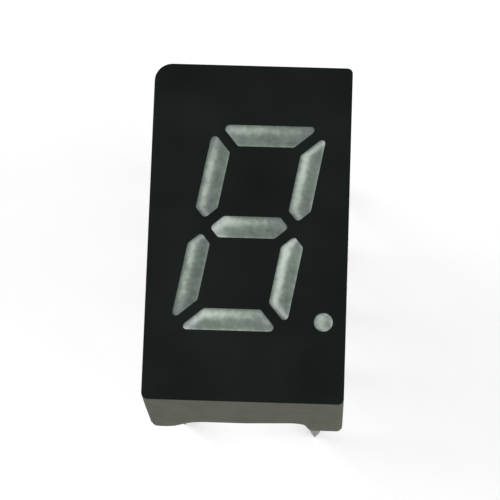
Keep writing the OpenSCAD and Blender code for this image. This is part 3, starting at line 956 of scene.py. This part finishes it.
sheet_between(bm, surface_rim, collars, up=False, spare=surface_verts)
sheet_between(bm, bed_rim, bed_holes, up=True)
potting = new_piece("potting_cast", bm, clear_amber, sharp_over=55)
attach(potting, "root")
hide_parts("potting_resin")

# ==== Floor, light and camera =======================================
# A white table just under the pin tips, three soft lamps to the left, right and front, an even
# white room, and the camera above the display's foot.

# Matt white board. It glows a little, so that the eye, gloss and clear resin see it white.
floor_white, tree, place = start_material("matt white table")
paper = grain(tree, place, across=2.0, detail=2.0)
paper_tone = add(tree, "ShaderNodeMix",
                 {"data_type": "RGBA", 6: (0.86, 0.86, 0.86, 1), 7: (0.88, 0.88, 0.88, 1)},
                 {0: paper}).outputs[2]
table = add(tree, "ShaderNodeBsdfDiffuse", links={"Color": paper_tone})
glow = add(tree, "ShaderNodeEmission", {"Color": (1, 1, 1, 1), "Strength": 0.28})
seen_by = add(tree, "ShaderNodeLightPath").outputs
eye = add(tree, "ShaderNodeMath", {"operation": "MAXIMUM"},
          {0: seen_by["Is Camera Ray"], 1: seen_by["Is Glossy Ray"]})
eye = add(tree, "ShaderNodeMath", {"operation": "MAXIMUM"}, {0: eye, 1: seen_by["Is Transmission Ray"]})
lifted = add(tree, "ShaderNodeAddShader", links={0: table, 1: glow})
chosen = add(tree, "ShaderNodeMixShader", links={0: eye, 1: table, 2: lifted})
add(tree, "ShaderNodeOutputMaterial", links={"Surface": chosen})
half_floor, floor_gap = 600 * MM, 0.01 * MM
floor_z = cad_box[0].z - floor_gap
ends = [(x * half_floor, y * half_floor, floor_z) for x, y in ((-1, -1), (1, -1), (1, 1), (-1, 1))]
mesh = bpy.data.meshes.new("table_top")
mesh.from_pydata(ends, [], [(0, 1, 2, 3)])
mesh.materials.append(floor_white)
floor = new_object("table_top", mesh)

# An even white room. It lights the display at less than half of the brightness it shows.
world = bpy.data.worlds.new("Soft room")
bpy.context.scene.world = world
world.use_nodes = True
tree = world.node_tree
tree.nodes.clear()
room = add(tree, "ShaderNodeBackground", {"Color": (1, 1, 1, 1), "Strength": 0.45})
white = add(tree, "ShaderNodeBackground", {"Color": (1, 1, 1, 1), "Strength": 1.0})
seen_by = add(tree, "ShaderNodeLightPath").outputs
chosen = add(tree, "ShaderNodeMixShader", links={0: seen_by["Is Camera Ray"], 1: room, 2: white})
add(tree, "ShaderNodeOutputWorld", links={"Surface": chosen})

lamp_size = 0.14


def soft_lamp(name, place, power):
    """A square lamp aimed at the display. Its place is in metres and its power in watts."""
    lamp = bpy.data.lights.new(name, "AREA")
    lamp.shape, lamp.size, lamp.energy = "SQUARE", lamp_size, power
    holder = new_object(name, lamp)
    holder.location = place
    holder.rotation_mode = "QUATERNION"
    holder.rotation_quaternion = (-Vector(place)).to_track_quat("-Z", "Y")


soft_lamp("left lamp", (-0.17, 0.06, 0.13), 0.24)
soft_lamp("right lamp", (0.16, -0.05, 0.12), 0.16)
soft_lamp("front lamp", (0.02, -0.2, 0.1), 0.13)

# A long lens, nearly straight above the face and a little towards its foot and its right, aimed
# at the middle of the body and turned by a small roll.
middle_of_body = Vector((0, 0, 3.0)) * MM
stand = Vector((3.0, -23.3, 105.5)) * MM
roll = math.radians(2.034)
camera_data = bpy.data.cameras.new("Camera")
camera_data.sensor_width, camera_data.lens = 36, 205
camera_data.clip_start, camera_data.clip_end = 0.005, 5
camera = new_object("Camera", camera_data)
camera.location = stand
camera.rotation_mode = "QUATERNION"
back_way = (stand - middle_of_body).normalized()
across = Vector((0, 1, 0)).cross(back_way).normalized()
upward = back_way.cross(across)
right_way = across * math.cos(roll) + upward * math.sin(roll)
up_way = upward * math.cos(roll) - across * math.sin(roll)
camera.rotation_quaternion = Matrix((right_way, up_way, back_way)).transposed().to_quaternion()
bpy.context.scene.camera = camera
bpy.context.scene.view_settings.view_transform = "Standard"
